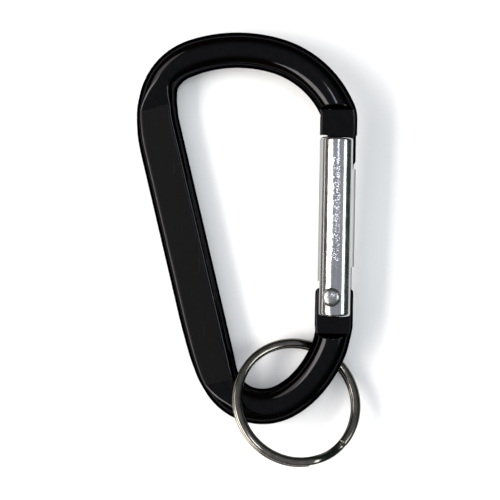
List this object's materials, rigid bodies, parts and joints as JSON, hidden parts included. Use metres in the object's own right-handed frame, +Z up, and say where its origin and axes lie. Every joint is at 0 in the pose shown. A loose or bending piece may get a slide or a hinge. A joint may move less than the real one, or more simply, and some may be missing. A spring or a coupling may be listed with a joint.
{
  "type": "carabiner keyring",
  "caption": "D-shaped pocket carabiner with a flattened spine and a sprung solid gate, carrying a round split key ring.",
  "frame": {"origin": "on the table, under the centre of the object's box, with the object lying as in the picture", "axes": "+Z up from the table; +Y along the gate, from its hinge towards the nose; +X from the spine towards the gate"},
  "size_m": [0.045, 0.0836, 0.0121],
  "materials": {
    "black_anodised": "glossy black anodised, with smoother pressed panels",
    "polished_aluminium": "bright, lightly drawn along its length",
    "rivet_steel": "bright zinc plated",
    "plunger_steel": "turned, plain",
    "spring_steel": "drawn spring wire",
    "nickel_plate": "dark bright nickel plate"
  },
  "bodies": {
    "frame": {"frame": "black_anodised"},
    "gate": {"gate": "polished_aluminium", "hinge_rivet": "rivet_steel", "gate_spring": "spring_steel"},
    "plunger": {"spring_plunger": "plunger_steel"},
    "ring": {"key_ring": "nickel_plate"}
  },
  "joints": [
    {"name": "gate_pivot", "type": "hinge", "parent": "frame", "child": "gate", "pos_m": [0.01638, -0.00905, 0.00657], "axis": [-0.1299, -0.0329, 0.991], "range_deg": [0, 42], "stiffness_Nm_per_rad": 0.06, "springref_deg": -34.38},
    {"name": "plunger_slide", "type": "slide", "parent": "gate", "child": "plunger", "axis": [-0.0021, 0.9995, 0.0329], "range_m": [0, 0.0015], "deforming": ["gate_spring"]},
    {"name": "key_ring_flip", "type": "hinge", "parent": "frame", "child": "ring", "pos_m": [0.00705, -0.02962, 0.00467], "axis": [-0.2919, 0.9564, -0.0065], "range_deg": [0, 112]}
  ],
  "couplings": [
    {"joint": "plunger_slide", "follows": "gate_pivot", "m_per_rad": 0.001948}
  ]
}
